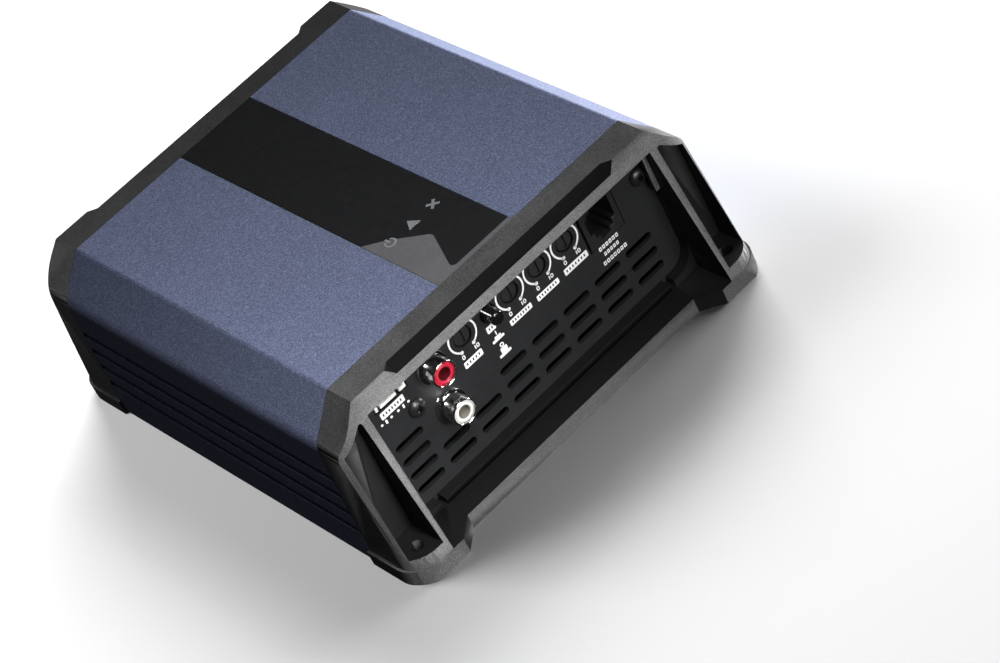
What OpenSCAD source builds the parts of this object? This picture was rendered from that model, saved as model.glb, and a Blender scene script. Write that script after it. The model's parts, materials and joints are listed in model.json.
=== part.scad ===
// Car amplifier: extruded heat sink, two moulded end caps, recessed control and power panels.
// X runs across the amplifier, the control panel faces -Y, and Z = 0 is the surface under the feet.

/* [Body] */
// Height from the feet to the top of the heat sink
body_h = 61; // [59:1:64]
// Width of the flat top
top_w = 120; // [118:1:122]
// Width where the sloped shoulder meets the side
shoulder_w = 143; // [142:1:145]
// Width of the sides at the bottom
side_w = 146.4; // [146:0.2:148]
// Height at which the shoulder meets the side
shoulder_z = 48; // [46:1:50]
// Length of the heat sink between the end caps
sink_len = 130; // [126:1:140]
// Height of the heat sink's lower edge above the feet
sink_lift = 0.6; // [0.4:0.1:1]

/* [End caps] */
// Depth of an end cap at the top
cap_top_d = 11; // [10:0.5:12]
// Depth of an end cap at the foot
cap_foot_d = 24; // [23:0.5:26]
// Height of the foot flange
foot_h = 5.4; // [5:0.1:6]
// Width across the foot flanges
foot_w = 148; // [147.6:0.2:150]
// Radius of the upright corners
cap_corner_r = 10; // [8:0.5:11]
// Half the length of the notch in the top front edge
notch_half = 46.8; // [40:0.2:50]
// Radius of the mounting holes in the corner pockets
mount_hole_r = 2.25; // [2:0.05:2.5]
// Distance between the mounting holes across the amplifier
mount_dx = 132; // [131:0.5:133]
// Distance between the mounting holes along the amplifier
mount_dy = 163; // [162:0.5:164]

/* [Panels] */
// Distance of a panel's outer face from the middle of the amplifier
panel_y = 70; // [69.5:0.1:70.5]
// Thickness of a panel
panel_t = 1.6; // [1.2:0.1:2]
// Length of a vent slot
slot_len = 10.7; // [8:0.1:11]
// Width of a vent slot
slot_w = 2.8; // [2:0.1:3.2]
// Spacing of the vent slots along the panel
slot_dx = 13.4; // [12:0.1:13.6]
// Spacing of the vent slots up the panel
slot_dz = 5.8; // [5:0.1:6]
// Height of the lowest row of vent slots
slot_z = 12.8; // [12:0.1:13.5]

/* [Controls] */
// Height of the rotary controls and the button
knob_z = 45.35; // [45:0.05:45.6]
// Radius of a rotary control
knob_r = 3; // [2.6:0.1:3.1]
// Place of the gain control across the panel
gain_x = -18.1; // [-18.3:0.1:-17.9]
// Place of the low-pass control across the panel
lowpass_x = 1.4; // [1.3:0.1:1.6]
// Place of the subsonic control across the panel
subsonic_x = 12.9; // [12.8:0.1:13.1]
// Place of the bass control across the panel
bass_x = 24.4; // [24.3:0.1:24.6]
// Place of the push button across the panel
button_x = -7.65; // [-7.7:0.05:-7.5]
// Radius of the push button
button_r = 2.35; // [2:0.05:2.4]
// Travel of the push button
button_travel = 2.5; // [1.5:0.1:2.5]

/* [Sockets] */
// Place of the signal sockets across the panel
rca_x = -31.3; // [-32:0.1:-31]
// Height of the lower signal socket
rca_low_z = 29.7; // [29:0.1:30]
// Height of the upper signal socket
rca_high_z = 45.5; // [45:0.1:46]
// Outer radius of a signal socket's shell
rca_r = 4.25; // [4.1:0.05:4.3]
// How far a signal socket stands out of the panel
rca_out = 7.2; // [6:0.2:9]
// Place of the remote-level socket across the panel
jack_x = 38.2; // [38:0.1:38.4]
// Place of the high-level input header across the panel
header_x = -46.6; // [-46.8:0.1:-46.4]

/* [Circuit] */
// Height of the circuit board's lower, component side
board_z = 51.2; // [51:0.1:51.4]
// Number of power transistors along each side wall
transistor_n = 5; // [3:1:5]

/* [Hidden] */
$fn = 48;
cut = 1;                 // how far a cutting body runs past the face it cuts
gap = 0.05;              // side clearance of pieces fitted into each other
half_len = sink_len / 2;
cap_slope = (cap_foot_d - cap_top_d) / (body_h - foot_h);
cap_angle = atan(cap_slope);
foot_y = half_len + cap_foot_d;

// Walls of the heat sink
roof_t = 4;
roof_z = body_h - roof_t;
inner_half = 68;         // half the clear width between the side walls
inner_top_half = 57.5;   // half the clear width under the roof
ledge_low_z = 2.5;       // the ledges that carry the bottom cover
ledge_high_z = 5.2;
ledge_half = 61;
groove_n = 4;
groove_z = 12.4;         // the lowest groove's lit lower edge
groove_dz = 7.05;
groove_h = 2.2;
groove_d = 1.1;
shoulder_r = 7;          // blend between the shoulder and the side

// Label strip let into the roof
label_w = 30;
label_t = 0.8;
accent_t = 0.25;
icon_y = -35.9;
icon_x = [-9.4, -0.6, 8.3];
pipe_r = 1.5;

// End cap details
opening_top_half = 58.2;
opening_foot_half = 59.4;
opening_top_z = 54.5;
sill_y = 74;
sill_z = 7.8;
sill_corner_r = 7;
rebate_half = 66.2;
rebate_low_z = 6;
rebate_high_z = 57.2;
rebate_corner_x = 59.9;
rebate_corner_z = 50.1;
pocket_in = 60.9;
pocket_out = 71.3;
pocket_out_top = 70.1;
pocket_y = 73.5;
pocket_z = 9.2;
pocket_top_z = 55.2;
pocket_side_z = 47.4;
pocket_r = 0.9;
lip_y = 83;
lip_half = 48.3;
foot_inner_half = 55.3;
lug_x = 51;
lug_w = 12;
lug_end = 56;            // how far from the middle a lug reaches
clip_x = 49;
clip_w = 1.8;
rib_half = 56.9;
rib_back = -72;
rib_z = 38.5;

// Circuit board stack
board_t = 1.6;
board_half_x = 59;
board_half_y = 62;
board_top = board_z + board_t;
pillar_x = 50;
pillar_y = [-52, 0, 52];
sheet_t = 0.3;

// Fasteners
m3_r = 1.45;
m3_hole_r = 1.5;
m3_head_r = 2.75;
m3_head_h = 1.7;
cover_t = 1.5;
cover_z = ledge_low_z - cover_t;
ledge_screw_x = 65;
ledge_screw_y = 40;
lug_screw_y = 60.5;
post_x = [-40.9, 55.2];
post_z = [37.4, 44.6];
rear_post_x = [-55.2, 55.2];
rear_post_z = [31, 31];
bracket_w = 6;

// Panel parts
slot_shift = -0.7;       // the slots' middle from the panel's middle
pot_w = 9.6;
pot_front = 67.6;
pot_back = 59.6;
knob_front = 69.7;
knob_back = 68;
shaft_r = 1.5;
shaft_end = 61;
button_front = 75.3;
button_z = knob_z;
button_back = 68;
switch_front = 65.2;
switch_back = 53;
rca_back = 62;
rca_wall = 0.6;
rca_pin_r = 1.95;
rca_bore_r = 1.62;
jack_w = 13.8;
jack_low = 34.3;
jack_back = 55;
plug_w = 10.3;
header_w = 12;
header_low = 46.2;
header_back = 60;

// Rear terminals
power_x = -31.6;
power_n = 3;
power_pitch = 13;
speaker_x = 38;
speaker_n = 2;
speaker_pitch = 13;
terminal_low = 26;
terminal_high = 50;
terminal_out = 7.5;
terminal_back = 58;
fuse_x = [2, 17];
fuse_w = 5.2;
fuse_len = 19;
fuse_z = 37;

// Power parts
transistor_pitch = 16;
transistor_w = 10;
transistor_t = 4.4;
transistor_top = 47.4;
transistor_h = 15;
pad_t = 0.4;
bar_t = 1.5;

// Outline helpers
function unit(v) = v / norm(v);

function turned(a) = ((a + 540) % 360) - 180;

// Points of a round of radius r where the line a-b meets b-c
function arc(a, b, c, r, n = 8) =
    let (u = unit(a - b), v = unit(c - b), half = acos(u * v) / 2)
    let (centre = b + unit(u + v) * r / sin(half))
    let (s = b + u * r / tan(half) - centre, e = b + v * r / tan(half) - centre)
    let (start = atan2(s.y, s.x), sweep = turned(atan2(e.y, e.x) - start))
    [for (i = [0:n]) centre + r * [cos(start + sweep * i / n), sin(start + sweep * i / n)]];

function mirrored(points) = [for (i = [len(points) - 1:-1:0]) [-points[i].x, points[i].y]];

// Half width of the outer side at a height
function side_half(z) = shoulder_w / 2 + (side_w - shoulder_w) / 2 * (shoulder_z - z) / shoulder_z;

// Distance of the sloped cap front from the middle at a height
function cap_y(z) = half_len + cap_top_d + (body_h - z) * cap_slope;

top_corner = [top_w / 2, body_h];
shoulder = [shoulder_w / 2, shoulder_z];

// Right half of the outer profile, from the top edge down, ending at the given height
function upper_outline(low) = concat(
    [top_corner],
    arc(top_corner, shoulder, [side_half(low), low], shoulder_r),
    [[side_half(low), low]]
);

function groove(z) = [
    [side_half(z + groove_h), z + groove_h],
    [side_half(z) - groove_d, z + groove_h / 4],
    [side_half(z) - groove_d, z],
    [side_half(z), z]
];

function sink_outline() = concat(
    [top_corner],
    arc(top_corner, shoulder, [side_half(0), 0], shoulder_r),
    [for (i = [groove_n - 1:-1:0]) each groove(groove_z + i * groove_dz)],
    [[side_half(sink_lift), sink_lift]]
);

// Draws a profile in X and Z, from y0 to y1
module along_y(y0, y1) {
    translate([0, y1, 0]) rotate([90, 0, 0]) linear_extrude(height = y1 - y0) children();
}

// A rod along Y
module rod_y(x, z, r, y0, y1) {
    translate([x, y1, z]) rotate([90, 0, 0]) cylinder(r = r, h = y1 - y0);
}

module box(x0, x1, y0, y1, z0, z1) {
    translate([x0, y0, z0]) cube([x1 - x0, y1 - y0, z1 - z0]);
}

module both_sides() {
    children();
    mirror([1, 0, 0]) children();
}

module to_rear() {
    rotate([0, 0, 180]) children();
}

module slot_shape(length, width) {
    square([length - width, width], center = true);
    for (x = [-1, 1]) translate([x * (length - width) / 2, 0]) circle(d = width);
}

// Pan-head screw with a cross recess, pointing up, its head's seat at the origin
module pan_screw(length, head_r = m3_head_r, r = m3_r) {
    difference() {
        union() {
            cylinder(r = r, h = length);
            intersection() {
                translate([0, 0, -m3_head_h]) cylinder(r = head_r, h = m3_head_h);
                translate([0, 0, head_r * 0.75]) sphere(r = head_r * 1.45);
            }
        }
        cross_recess(-m3_head_h, head_r);
    }
}

module cross_recess(z, head_r) {
    for (a = [0, 90]) {
        rotate([0, 0, a]) cube([head_r, head_r * 0.28, head_r * 0.9], center = true);
        rotate([0, 0, a]) translate([0, 0, z]) cube([head_r, head_r * 0.28, head_r * 0.8], center = true);
    }
}

// Countersunk screw pointing up, its flat head's face at the origin
module flat_screw(length) {
    difference() {
        union() {
            cylinder(r1 = m3_head_r - gap, r2 = m3_r, h = m3_head_r - m3_r);
            cylinder(r = m3_r, h = length);
        }
        for (a = [0, 90]) rotate([0, 0, a]) cube([m3_head_r, m3_head_r * 0.28, 1.4], center = true);
    }
}

module flat_screw_hole(length) {
    translate([0, 0, -gap]) cylinder(r1 = m3_head_r + gap, r2 = m3_hole_r, h = m3_head_r - m3_r + gap);
    translate([0, 0, -gap]) cylinder(r = m3_hole_r, h = length);
}

module at_cover_screws() {
    for (x = [-1, 1], y = [-1, 1]) {
        translate([x * ledge_screw_x, y * ledge_screw_y, cover_z]) children();
        translate([x * lug_x, y * lug_screw_y, cover_z]) children();
    }
}

module at_pillars() {
    for (x = [-1, 1], y = pillar_y) translate([x * pillar_x, y, 0]) children();
}

// Transistor places on the right-hand wall
module at_transistors() {
    for (i = [0:transistor_n - 1]) {
        translate([0, (i - (transistor_n - 1) / 2) * transistor_pitch, 0]) children();
    }
}

// Clamp screws sit between the transistors
module at_clamp_screws() {
    for (y = [-1, 1]) translate([0, y * transistor_pitch / 2 * (transistor_n - 2), 0]) children();
}

// Casing

module heat_sink() {
    inner = [
        [inner_top_half, roof_z], [inner_half, shoulder_z - 2.8], [inner_half, ledge_high_z],
        [ledge_half, ledge_high_z], [ledge_half, ledge_low_z], [inner_half + 1, ledge_low_z],
        [inner_half + 1, sink_lift - cut]
    ];
    color("#5b6187") difference() {
        along_y(-half_len, half_len) difference() {
            polygon(concat(sink_outline(), mirrored(sink_outline())));
            polygon(concat(inner, mirrored(inner)));
        }
        box(-label_w / 2 - gap, label_w / 2 + gap, -half_len - cut, half_len + cut,
            body_h - label_t, body_h + cut);
        for (x = icon_x) translate([x, icon_y, roof_z - cut]) cylinder(r = pipe_r + gap, h = roof_t + cut);
        at_pillars() translate([0, 0, roof_z - cut]) cylinder(r = m3_hole_r, h = 3.2);
        for (x = [-1, 1], y = [-1, 1]) translate([x * ledge_screw_x, y * ledge_screw_y, 0])
            cylinder(r = m3_hole_r, h = ledge_high_z + cut);
        both_sides() at_clamp_screws() translate([inner_half - cut, 0, transistor_top - transistor_h / 2])
            rotate([0, 90, 0]) cylinder(r = m3_hole_r, h = 3.4);
    }
}

module bottom_cover() {
    half_x = inner_half + 1 - 0.2;
    half_y = half_len - 0.2;
    color("#26272a") difference() {
        box(-half_x, half_x, -half_y, half_y, cover_z, ledge_low_z);
        at_cover_screws() flat_screw_hole(cover_t + cut);
        for (i = [-3:3]) translate([0, i * slot_dx, cover_z - cut]) linear_extrude(height = cover_t + 2 * cut)
            slot_shape(40, 3);
    }
}

// Wedge that cuts the notch in a cap's top front edge, its two ends bevelled
module cap_notch() {
    bevel = 2.9;
    back = 2.3;
    drop = 3.3;
    top_in = [notch_half - bevel, -cap_y(body_h) + back, body_h];
    low_in = [notch_half - bevel, -cap_y(body_h - drop), body_h - drop];
    middle = (top_in + low_in) / 2;
    tip = middle + 4 * ([notch_half, -cap_y(body_h), body_h] - middle);
    up = 2 * top_in - low_in;
    down = 2 * low_in - top_in;
    right = [up, down, tip];
    left = [for (p = right) [-p.x, p.y, p.z]];
    polyhedron(
        points = concat(right, left),
        faces = [[0, 1, 2], [3, 5, 4], [0, 3, 4, 1], [1, 4, 5, 2], [2, 5, 3, 0]]
    );
}

module cap_body() {
    outline = upper_outline(0);
    intersection() {
        along_y(-foot_y, -half_len) polygon(concat(outline, mirrored(outline)));
        translate([0, -cap_y(body_h), body_h]) rotate([-cap_angle, 0, 0])
            translate([0, 0, -body_h - cap_foot_d]) linear_extrude(height = body_h + 2 * cap_foot_d)
                cap_plan(side_w / 2, 2 * cap_foot_d);
    }
    translate([0, -foot_y, 0]) linear_extrude(height = foot_h) cap_plan(foot_w / 2, cap_foot_d);
    for (x = [-1, 1]) translate([x * lug_x - lug_w / 2, -panel_y - cut, ledge_low_z])
        cube([lug_w, panel_y + cut - lug_end, rebate_low_z - ledge_low_z]);
}

// Step back of the flange's front edge between the two feet
module flange_step() {
    translate([0, 0, -cut]) linear_extrude(height = foot_h + 2 * cut) polygon([
        [-foot_inner_half, -foot_y - cut], [-foot_inner_half, -foot_y], [-lip_half, -lip_y],
        [lip_half, -lip_y], [foot_inner_half, -foot_y], [foot_inner_half, -foot_y - cut]
    ]);
}

// Plan of a cap, front edge on the X axis, with two round corners
module cap_plan(half, depth) {
    translate([-half, cap_corner_r]) square([2 * half, depth - cap_corner_r]);
    translate([-half + cap_corner_r, 0]) square([2 * (half - cap_corner_r), depth]);
    for (x = [-1, 1]) translate([x * (half - cap_corner_r), cap_corner_r]) circle(r = cap_corner_r, $fn = 72);
}

module cap_openings() {
    flare = (opening_foot_half - opening_top_half) / (opening_top_z - foot_h);
    sill_half = opening_top_half + flare * (opening_top_z - sill_z);
    low_right = [sill_half, sill_z];
    window = concat(
        [[opening_top_half, opening_top_z]],
        arc([opening_top_half, opening_top_z], low_right, [0, sill_z], sill_corner_r)
    );
    recess = [[opening_top_half, opening_top_z], [opening_foot_half, foot_h]];
    pocket = concat(
        [[pocket_out, pocket_z], [pocket_out_top, pocket_side_z]],
        arc([pocket_out_top, pocket_side_z], [pocket_in, pocket_top_z], [pocket_in, pocket_z], pocket_r),
        [[pocket_in, pocket_z]]
    );
    rebate = [
        [rebate_corner_x, rebate_high_z], [rebate_half, rebate_corner_z], [rebate_half, rebate_low_z]
    ];
    along_y(-foot_y - cut, -sill_y) polygon(concat(recess, mirrored(recess)));
    along_y(-sill_y - cut / 2, -panel_y + cut / 2) polygon(concat(window, mirrored(window)));
    along_y(-panel_y, -half_len + cut) polygon(concat(rebate, mirrored(rebate)));
    both_sides() along_y(-foot_y - cut, -pocket_y) polygon(pocket);
    both_sides() box(clip_x - clip_w / 2, clip_x + clip_w / 2, -sill_y - cut, -panel_y + cut / 2,
        foot_h, sill_z + cut);
    both_sides() translate([mount_dx / 2, -mount_dy / 2, -cut]) cylinder(r = mount_hole_r, h = pocket_z + 2 * cut);
    for (x = [-1, 1]) translate([x * lug_x, -lug_screw_y, 0]) cylinder(r = m3_hole_r, h = rebate_low_z + cut);
}

module cap() {
    difference() {
        cap_body();
        cap_openings();
        cap_notch();
        flange_step();
        translate([0, 0, -cut]) box(-lug_x - lug_w, lug_x + lug_w, -half_len, 0, 0, ledge_low_z + cut);
    }
    both_sides() box(rib_half, opening_top_half + 1, -sill_y, rib_back, rib_z, opening_top_z + cut);
}

module front_cap() {
    color("#3d3e40") cap();
}

module rear_cap() {
    color("#2c2d2d") to_rear() cap();
}

// Panels

module panel_blank() {
    slack = 0.2;
    half = rebate_half - slack;
    plate = [
        [rebate_corner_x - slack, rebate_high_z - slack], [half, rebate_corner_z - slack],
        [half, rebate_low_z + slack]
    ];
    along_y(-panel_y, -panel_y + panel_t) polygon(concat(plate, mirrored(plate)));
}

module vent(column, row) {
    translate([(column - 3.5) * slot_dx + slot_shift, -panel_y - cut + panel_t + 2 * cut, slot_z + row * slot_dz])
        rotate([90, 0, 0]) linear_extrude(height = panel_t + 2 * cut) slot_shape(slot_len, slot_w);
}

module panel_hole(x, z, r) {
    rod_y(x, z, r, -panel_y - cut, -panel_y + panel_t + cut);
}

module front_panel() {
    thru = panel_t + 2 * cut;
    color("#2b2c2e") difference() {
        panel_blank();
        for (row = [0:3]) vent(0, row);
        for (column = [1:2], row = [0:1]) vent(column, row);
        for (column = [3:7], row = [0:2]) vent(column, row);
        for (x = [gain_x, lowpass_x, subsonic_x, bass_x]) panel_hole(x, knob_z, knob_r + 0.4);
        for (z = [rca_low_z, rca_high_z]) panel_hole(rca_x, z, rca_r + 0.2);
        for (i = [0:1]) panel_hole(post_x[i], post_z[i], m3_hole_r);
        panel_hole(button_x, button_z, button_r + 0.6);
        box(jack_x - jack_w / 2 - 0.8, jack_x + jack_w / 2 + 0.2, -panel_y - cut, -panel_y - cut + thru,
            jack_low - 0.2, board_z + 0.6);
        box(header_x - header_w / 2 - 0.5, header_x + header_w / 2 + 0.5, -panel_y - cut,
            -panel_y - cut + thru, header_low - 0.6, board_z + 0.6);
    }
}

module terminal_opening(x, count, pitch) {
    half = count * pitch / 2 + 1.3;
    box(x - half, x + half, panel_y - panel_t - cut, panel_y + cut, terminal_low - 0.3, terminal_high + 0.3);
}

module rear_panel() {
    color("#2b2c2e") difference() {
        to_rear() panel_blank();
        to_rear() for (column = [0:7], row = [0:1]) vent(column, row);
        terminal_opening(power_x, power_n, power_pitch);
        terminal_opening(speaker_x, speaker_n, speaker_pitch);
        box(fuse_x[0] - 6.3, fuse_x[1] + 6.3, panel_y - panel_t - cut, panel_y + cut, fuse_z - 11.3, fuse_z + 11.3);
        for (i = [0:1]) to_rear() panel_hole(rear_post_x[i], rear_post_z[i], m3_hole_r);
    }
}

module front_panel_screws() {
    color("#161617") for (i = [0:1]) translate([post_x[i], -panel_y, post_z[i]]) rotate([-90, 0, 0])
        pan_screw(4, 3.1);
}

module rear_panel_screws() {
    color("#161617") for (i = [0:1]) translate([rear_post_x[i], panel_y, rear_post_z[i]]) rotate([90, 0, 0])
        pan_screw(4, 3.1);
}

// Angle bracket hung from the board, its upright leg behind a panel
module bracket(x, z, dir) {
    leg_w = bracket_w;
    leg_t = 1.5;
    face = panel_y - panel_t;
    foot_len = 12;
    translate([x, 0, 0]) facing(dir) difference() {
        union() {
            box(-leg_w / 2, leg_w / 2, -face, -face + leg_t, z - leg_w / 2, board_z);
            box(-leg_w / 2, leg_w / 2, -face, -face + foot_len, board_z - leg_t, board_z);
        }
        rod_y(0, z, m3_hole_r, -face - cut, -face + leg_t + cut);
        translate([0, -board_half_y + 3, board_z - leg_t - cut]) cylinder(r = m3_hole_r, h = leg_t + 2 * cut);
    }
}

module facing(dir) {
    rotate([0, 0, dir > 0 ? 180 : 0]) children();
}

module panel_brackets() {
    color("#b9bcc0") {
        bracket(post_x[1], post_z[1], -1);
        for (i = [0:1]) bracket(rear_post_x[i], rear_post_z[i], 1);
    }
}

// Label and indicators

// Outline of the light patch at the strip's front corner
function accent_outline() = concat(
    [[-label_w / 2, -28.2], [-9, -34.4]],
    arc([-9, -34.4], [-0.6, -46], [-8.2, -61.5], 2.5),
    arc([-0.6, -46], [-8.2, -63.2], [label_w / 2, -63.3], 1.6),
    [[label_w / 2, -63.3], [label_w / 2, -half_len], [-label_w / 2, -half_len]]
);

module icon_cross(grow) {
    for (a = [45, -45]) rotate(a) square([4.4 + grow, 1 + grow], center = true);
}

module icon_triangle(grow) {
    side = 2.3 + grow;
    polygon([[-side, -side * 0.8], [side, -side * 0.8], [0, side]]);
}

module icon_power(grow) {
    difference() {
        circle(r = 2 + grow / 2);
        circle(r = 1.4 - grow / 2);
        translate([0, 1.6]) square([1.7 - grow, 2], center = true);
    }
    translate([0, 1.5]) square([0.7 + grow, 2 + grow], center = true);
}

module icons(grow) {
    translate([icon_x[0], icon_y]) icon_power(grow);
    translate([icon_x[1], icon_y]) icon_triangle(grow);
    translate([icon_x[2], icon_y]) icon_cross(grow);
}

module top_label() {
    color("#17181a") difference() {
        box(-label_w / 2, label_w / 2, -half_len, half_len, body_h - label_t, body_h);
        translate([0, 0, body_h - accent_t]) linear_extrude(height = 1) polygon(accent_outline());
        translate([0, 0, body_h - label_t - cut]) linear_extrude(height = label_t + 2 * cut) icons(gap);
    }
}

module label_accent() {
    color("#6c6d73") translate([0, 0, body_h - accent_t]) linear_extrude(height = accent_t) difference() {
        polygon(accent_outline());
        icons(gap);
    }
}

module indicator_windows() {
    color("#9a9ca0") translate([0, 0, body_h - label_t]) linear_extrude(height = label_t) icons(0);
}

module light_pipes() {
    low = board_top + 3.4;
    color("#d8dcdf") for (x = icon_x) translate([x, icon_y, low])
        cylinder(r = pipe_r, h = body_h - label_t - low);
}

module indicator_leds() {
    color("#e6e2c8") for (x = icon_x) translate([x, icon_y, board_top]) {
        cylinder(r = 1.9, h = 0.8);
        cylinder(r = 1.5, h = 1.8);
        translate([0, 0, 1.8]) sphere(r = 1.5);
    }
}

// Board and its fixings

module main_board() {
    color("#1f5a38") difference() {
        box(-board_half_x, board_half_x, -board_half_y, board_half_y, board_z, board_top);
        at_pillars() translate([0, 0, board_z - cut]) cylinder(r = m3_hole_r + 0.1, h = board_t + 2 * cut);
        translate([post_x[1], -board_half_y + 3, board_z - cut]) cylinder(r = m3_hole_r, h = board_t + 2 * cut);
        for (x = rear_post_x) translate([x, board_half_y - 3, board_z - cut])
            cylinder(r = m3_hole_r, h = board_t + 2 * cut);
    }
}

module insulating_sheet() {
    color("#d9c77a") difference() {
        box(-56, 56, -60, 60, roof_z - sheet_t, roof_z);
        at_pillars() translate([0, 0, roof_z - cut]) cylinder(r = 3.2, h = 2 * cut);
        for (x = icon_x) translate([x, icon_y, roof_z - cut]) cylinder(r = pipe_r + 0.3, h = 2 * cut);
    }
}

module board_pillars() {
    color("#c9a85a") at_pillars() translate([0, 0, board_top]) difference() {
        cylinder(r = 3, h = roof_z - board_top);
        translate([0, 0, -cut]) cylinder(r = m3_hole_r, h = roof_z - board_top + 2 * cut);
    }
}

module board_screws() {
    color("#c4c6c8") {
        at_pillars() translate([0, 0, board_z]) pan_screw(7.4);
        translate([post_x[1], -board_half_y + 3, board_z - 1.5]) pan_screw(4);
        for (x = rear_post_x) translate([x, board_half_y - 3, board_z - 1.5]) pan_screw(4);
    }
}

module cover_screws() {
    color("#1a1a1b") at_cover_screws() flat_screw(4.2);
}

// Signal sockets

module rca_block() {
    half = 6.1;
    ear = 3.8;
    color("#1b1b1d") difference() {
        union() {
            box(rca_x - half, rca_x + half, -panel_y + panel_t, -54, rca_low_z - 6.4, board_z);
            box(post_x[0] - ear, rca_x - half + cut, -panel_y + panel_t, -62, post_z[0] - ear, post_z[0] + ear);
        }
        rod_y(post_x[0], post_z[0], m3_hole_r, -panel_y, -63);
        for (z = [rca_low_z, rca_high_z]) rod_y(rca_x, z, rca_r + gap, -panel_y, -rca_back);
        for (z = [rca_low_z, rca_high_z]) rod_y(rca_x, z, rca_pin_r, -rca_back - cut, -58);
    }
}

module rca_shells() {
    color("#d4d6d8") for (z = [rca_low_z, rca_high_z]) difference() {
        union() {
            rod_y(rca_x, z, rca_r, -panel_y - rca_out, -rca_back);
            rod_y(rca_x, z, rca_r + 1, -panel_y - 1.5, -panel_y);
        }
        rod_y(rca_x, z, rca_r - rca_wall, -panel_y - rca_out - cut, -rca_back + cut);
    }
}

module rca_insulator(z) {
    difference() {
        rod_y(rca_x, z, rca_r - rca_wall - gap, -panel_y - rca_out + 0.3, -rca_back);
        rod_y(rca_x, z, rca_pin_r, -panel_y - rca_out - cut, -rca_back + cut);
    }
}

module rca_insulator_red() {
    color("#d01f2f") rca_insulator(rca_high_z);
}

module rca_insulator_white() {
    color("#efefec") rca_insulator(rca_low_z);
}

module rca_contacts() {
    color("#c8b68a") for (z = [rca_low_z, rca_high_z]) difference() {
        rod_y(rca_x, z, rca_pin_r - gap, -panel_y - rca_out + 2, -58);
        rod_y(rca_x, z, rca_bore_r, -panel_y - rca_out, -60);
    }
}

// Rotary controls

module pot(x) {
    color("#202022") difference() {
        box(x - pot_w / 2, x + pot_w / 2, -pot_front, -pot_back, knob_z - 5.6, board_z);
        rod_y(x, knob_z, shaft_r + gap, -pot_front - cut, -shaft_end + 0.4);
    }
}

module knob(x) {
    color("#141415") difference() {
        union() {
            rod_y(x, knob_z, knob_r, -knob_front, -knob_back);
            rod_y(x, knob_z, shaft_r, -knob_back - gap, -shaft_end);
        }
        box(x - 0.45, x + 0.45, -knob_front - cut, -knob_front + 0.7, knob_z - 2.3, knob_z + 2.3);
        rod_y(x + knob_r - 0.9, knob_z, 0.35, -knob_front - cut, -knob_front + 0.4);
    }
}

module gain_pot() {
    pot(gain_x);
}

module lowpass_pot() {
    pot(lowpass_x);
}

module subsonic_pot() {
    pot(subsonic_x);
}

module bass_pot() {
    pot(bass_x);
}

module gain_knob() {
    knob(gain_x);
}

module lowpass_knob() {
    knob(lowpass_x);
}

module subsonic_knob() {
    knob(subsonic_x);
}

module bass_knob() {
    knob(bass_x);
}

// Push button

module switch_body() {
    half = 4;
    color("#2a2a2c") difference() {
        box(button_x - half, button_x + half, -switch_front, -switch_back, button_z - half, board_z);
        rod_y(button_x, button_z, shaft_r + gap, -switch_front - cut, -switch_back - cut);
    }
}

module power_button() {
    edge = 0.6;
    head = button_front - button_back;
    stem = button_front - switch_back - cut - button_travel - edge;
    color("#0f0f10") translate([button_x, -button_front, button_z]) rotate([-90, 0, 0]) rotate_extrude() polygon([
        [0, 0], [button_r - edge, 0], [button_r, edge], [button_r, head], [shaft_r, head], [shaft_r, stem], [0, stem]
    ]);
}

// Remote-level socket

module remote_jack() {
    plug_z = jack_low + 5.3;
    plug_h = 8;
    color("#0e0e0f") difference() {
        box(jack_x - jack_w / 2, jack_x + jack_w / 2, -panel_y, -jack_back, jack_low, board_z);
        box(jack_x - plug_w / 2, jack_x + plug_w / 2, -panel_y - cut, -jack_back - 1.5, plug_z, plug_z + plug_h);
        box(jack_x - 3.6, jack_x + 3.5, -panel_y - cut, -jack_back - 4, plug_z - 2.1, plug_z + cut);
        box(jack_x - 1.9, jack_x + 1.8, -panel_y - cut, -jack_back - 4, plug_z - 3.8, plug_z - 2);
    }
}

module remote_jack_contacts() {
    wire = 0.45;
    pitch = 1.02;
    top = jack_low + 13.3;
    color("#c9a227") for (i = [0:5]) translate([jack_x + (i - 2.5) * pitch - wire / 2, 0, 0]) {
        box(0, wire, -jack_back - 12, -jack_back - 1.5, top - wire, top);
        translate([0, -jack_back - 12, top - wire]) rotate([-25, 0, 0]) cube([wire, 6, wire]);
    }
}

// High-level input header

module input_header() {
    wall = 1.1;
    half = header_w / 2;
    color("#e9e9e4") difference() {
        box(header_x - half, header_x + half, -panel_y, -header_back, header_low, board_z);
        box(header_x - half + wall, header_x + half - wall, -panel_y - cut, -header_back - 2,
            header_low + wall, board_z - wall / 2);
        box(header_x - half + 1, header_x - half + 1.9, -panel_y - cut, -header_back - 3,
            header_low - cut, header_low + wall + cut);
        box(header_x + 2.2, header_x + 3.4, -panel_y - cut, -header_back - 3,
            header_low - cut, header_low + wall + cut);
    }
}

module input_header_pins() {
    pin = 0.64;
    color("#cfd1d2") for (i = [0:3]) translate([header_x + (i - 1.5) * 2.5, 0, header_low + 2.9])
        box(-pin / 2, pin / 2, -panel_y + 1.6, -header_back - 2, -pin / 2, pin / 2);
}

// Rear terminals

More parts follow.
